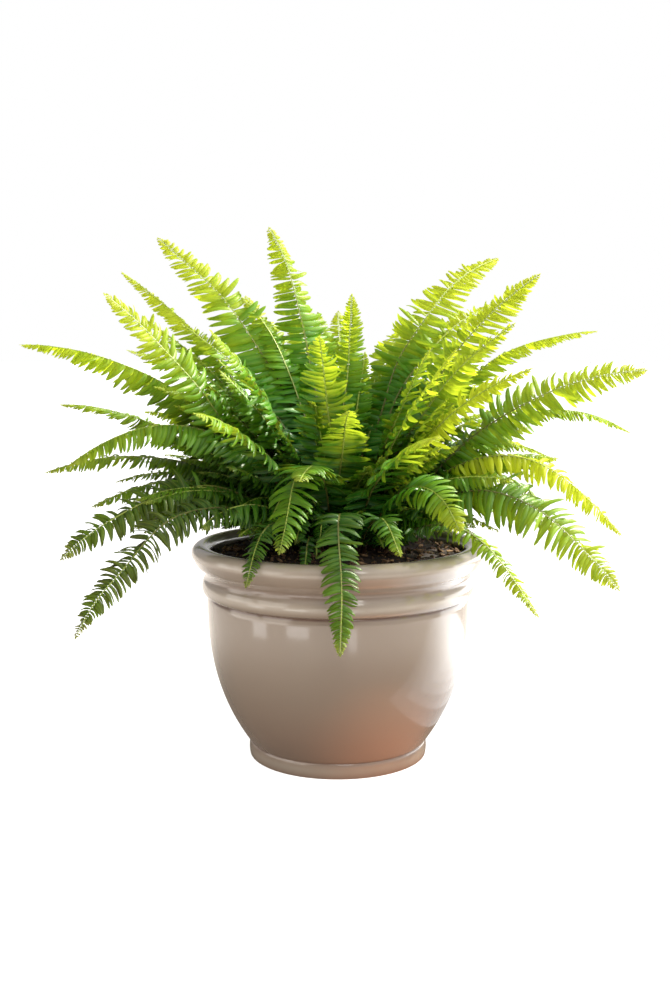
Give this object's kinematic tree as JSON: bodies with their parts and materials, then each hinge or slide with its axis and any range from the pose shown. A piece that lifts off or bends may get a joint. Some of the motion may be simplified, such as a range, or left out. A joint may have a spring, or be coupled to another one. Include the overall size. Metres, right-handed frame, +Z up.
{
  "type": "potted fern",
  "caption": "Clump of arching sword fern fronds in a round glazed bell pot with a rolled lip, a bead and a low foot, filled with potting soil.",
  "frame": {"origin": "middle of the flat underside of the pot's foot, on the pot's axis", "axes": "+Z up along the pot's axis, +X along the widest reach of the fronds, to the right of a viewer who stands in front on the -Y side"},
  "size_m": [0.5571, 0.4248, 0.4887],
  "materials": {
    "glaze": "glossy, warm beige glaze, smooth, thinner and lighter on the edges",
    "potting_soil": "matt, dark and crumbly, with lighter chips of bark",
    "leaf": "fresh green, satin on the upper face, lets light through, yellower towards the tips"
  },
  "bodies": {
    "root": {"pot": "glaze", "soil": "potting_soil", "frond_01": "leaf", "frond_02": "leaf", "frond_03": "leaf", "frond_04": "leaf", "frond_05": "leaf", "frond_06": "leaf", "frond_07": "leaf", "frond_08": "leaf", "frond_09": "leaf", "frond_10": "leaf", "frond_11": "leaf", "frond_12": "leaf", "frond_13": "leaf", "frond_14": "leaf", "frond_15": "leaf", "frond_16": "leaf", "frond_17": "leaf", "frond_18": "leaf", "frond_19": "leaf", "frond_20": "leaf", "frond_21": "leaf", "frond_22": "leaf", "frond_23": "leaf", "frond_24": "leaf", "frond_25": "leaf", "frond_26": "leaf", "frond_27": "leaf", "frond_28": "leaf", "frond_29": "leaf", "frond_30": "leaf", "frond_31": "leaf", "frond_32": "leaf", "frond_33": "leaf", "frond_34": "leaf", "frond_35": "leaf", "frond_36": "leaf", "frond_37": "leaf", "frond_38": "leaf", "frond_39": "leaf", "frond_40": "leaf", "frond_41": "leaf", "frond_42": "leaf", "frond_43": "leaf", "frond_44": "leaf", "frond_45": "leaf", "frond_46": "leaf", "frond_47": "leaf", "frond_48": "leaf", "frond_49": "leaf", "frond_50": "leaf", "frond_51": "leaf", "frond_52": "leaf", "frond_53": "leaf", "frond_54": "leaf", "frond_55": "leaf", "frond_56": "leaf", "frond_57": "leaf", "frond_58": "leaf"}
  },
  "joints": []
}
